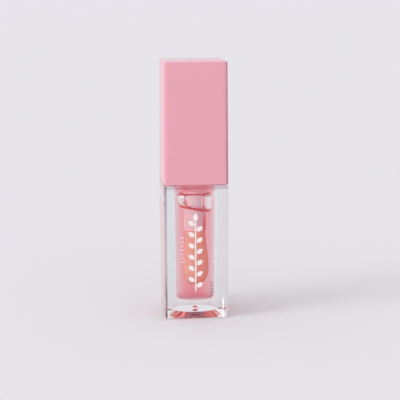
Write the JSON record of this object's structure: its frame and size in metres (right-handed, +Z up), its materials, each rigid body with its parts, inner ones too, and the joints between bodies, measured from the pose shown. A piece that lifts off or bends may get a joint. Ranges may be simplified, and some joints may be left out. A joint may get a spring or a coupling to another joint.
{
  "type": "lip gloss tube",
  "caption": "Square clear lip gloss bottle with a round chamber of pink oil, a threaded neck and wiper, and a square pink screw cap that carries a rod and flocked applicator.",
  "frame": {"origin": "centre of the base, on the plane it stands on", "axes": "+Z up along the tube, the axis that the cap turns about and the wand pulls out along; the decorated front face looks along -Y; +X is to the right of a person who faces the front"},
  "size_m": [0.0194, 0.0194, 0.0788],
  "materials": {
    "clear_bottle": "polished clear PETG, thick injection-moulded wall",
    "wiper_ldpe": "soft translucent LDPE",
    "lip_oil": "clear viscous pink lip oil",
    "pink_cap": "satin-gloss pink ABS",
    "collar_pp": "pink PP, as moulded",
    "washer_foam": "closed-cell white PE foam",
    "rod_pp": "translucent white PP",
    "core_tpe": "soft coral TPE",
    "flock_nylon": "coral nylon flock, soaked",
    "white_ink": "opaque white screen print",
    "pale_ink": "thin pale pink screen print",
    "dark_ink": "dark plum screen print"
  },
  "bodies": {
    "bottle": {"bottle": "clear_bottle", "wiper": "wiper_ldpe", "gloss_fill": "lip_oil", "front_print": "white_ink", "side_print": "pale_ink", "small_print": "dark_ink"},
    "lift": {"seal_washer": "washer_foam"},
    "rod": {"stem": "rod_pp"},
    "cap": {"outer_cap": "pink_cap", "inner_cap": "collar_pp", "applicator_core": "core_tpe", "applicator_flock": "flock_nylon"}
  },
  "joints": [
    {"name": "wand_withdraw", "type": "slide", "parent": "bottle", "child": "lift", "axis": [0, 0, 1], "range_m": [0, 0.055], "deforming": ["gloss_fill", "wiper"]},
    {"name": "cap_rise", "type": "slide", "parent": "lift", "child": "rod", "axis": [0, 0, 1], "range_m": [0, 0.00376]},
    {"name": "cap_turn", "type": "hinge", "parent": "rod", "child": "cap", "pos_m": [0, 0, 0.0413], "axis": [0, 0, 1], "range_deg": [0, 450]}
  ],
  "couplings": [
    {"joint": "cap_rise", "follows": "cap_turn", "m_per_rad": 0.00047746}
  ]
}
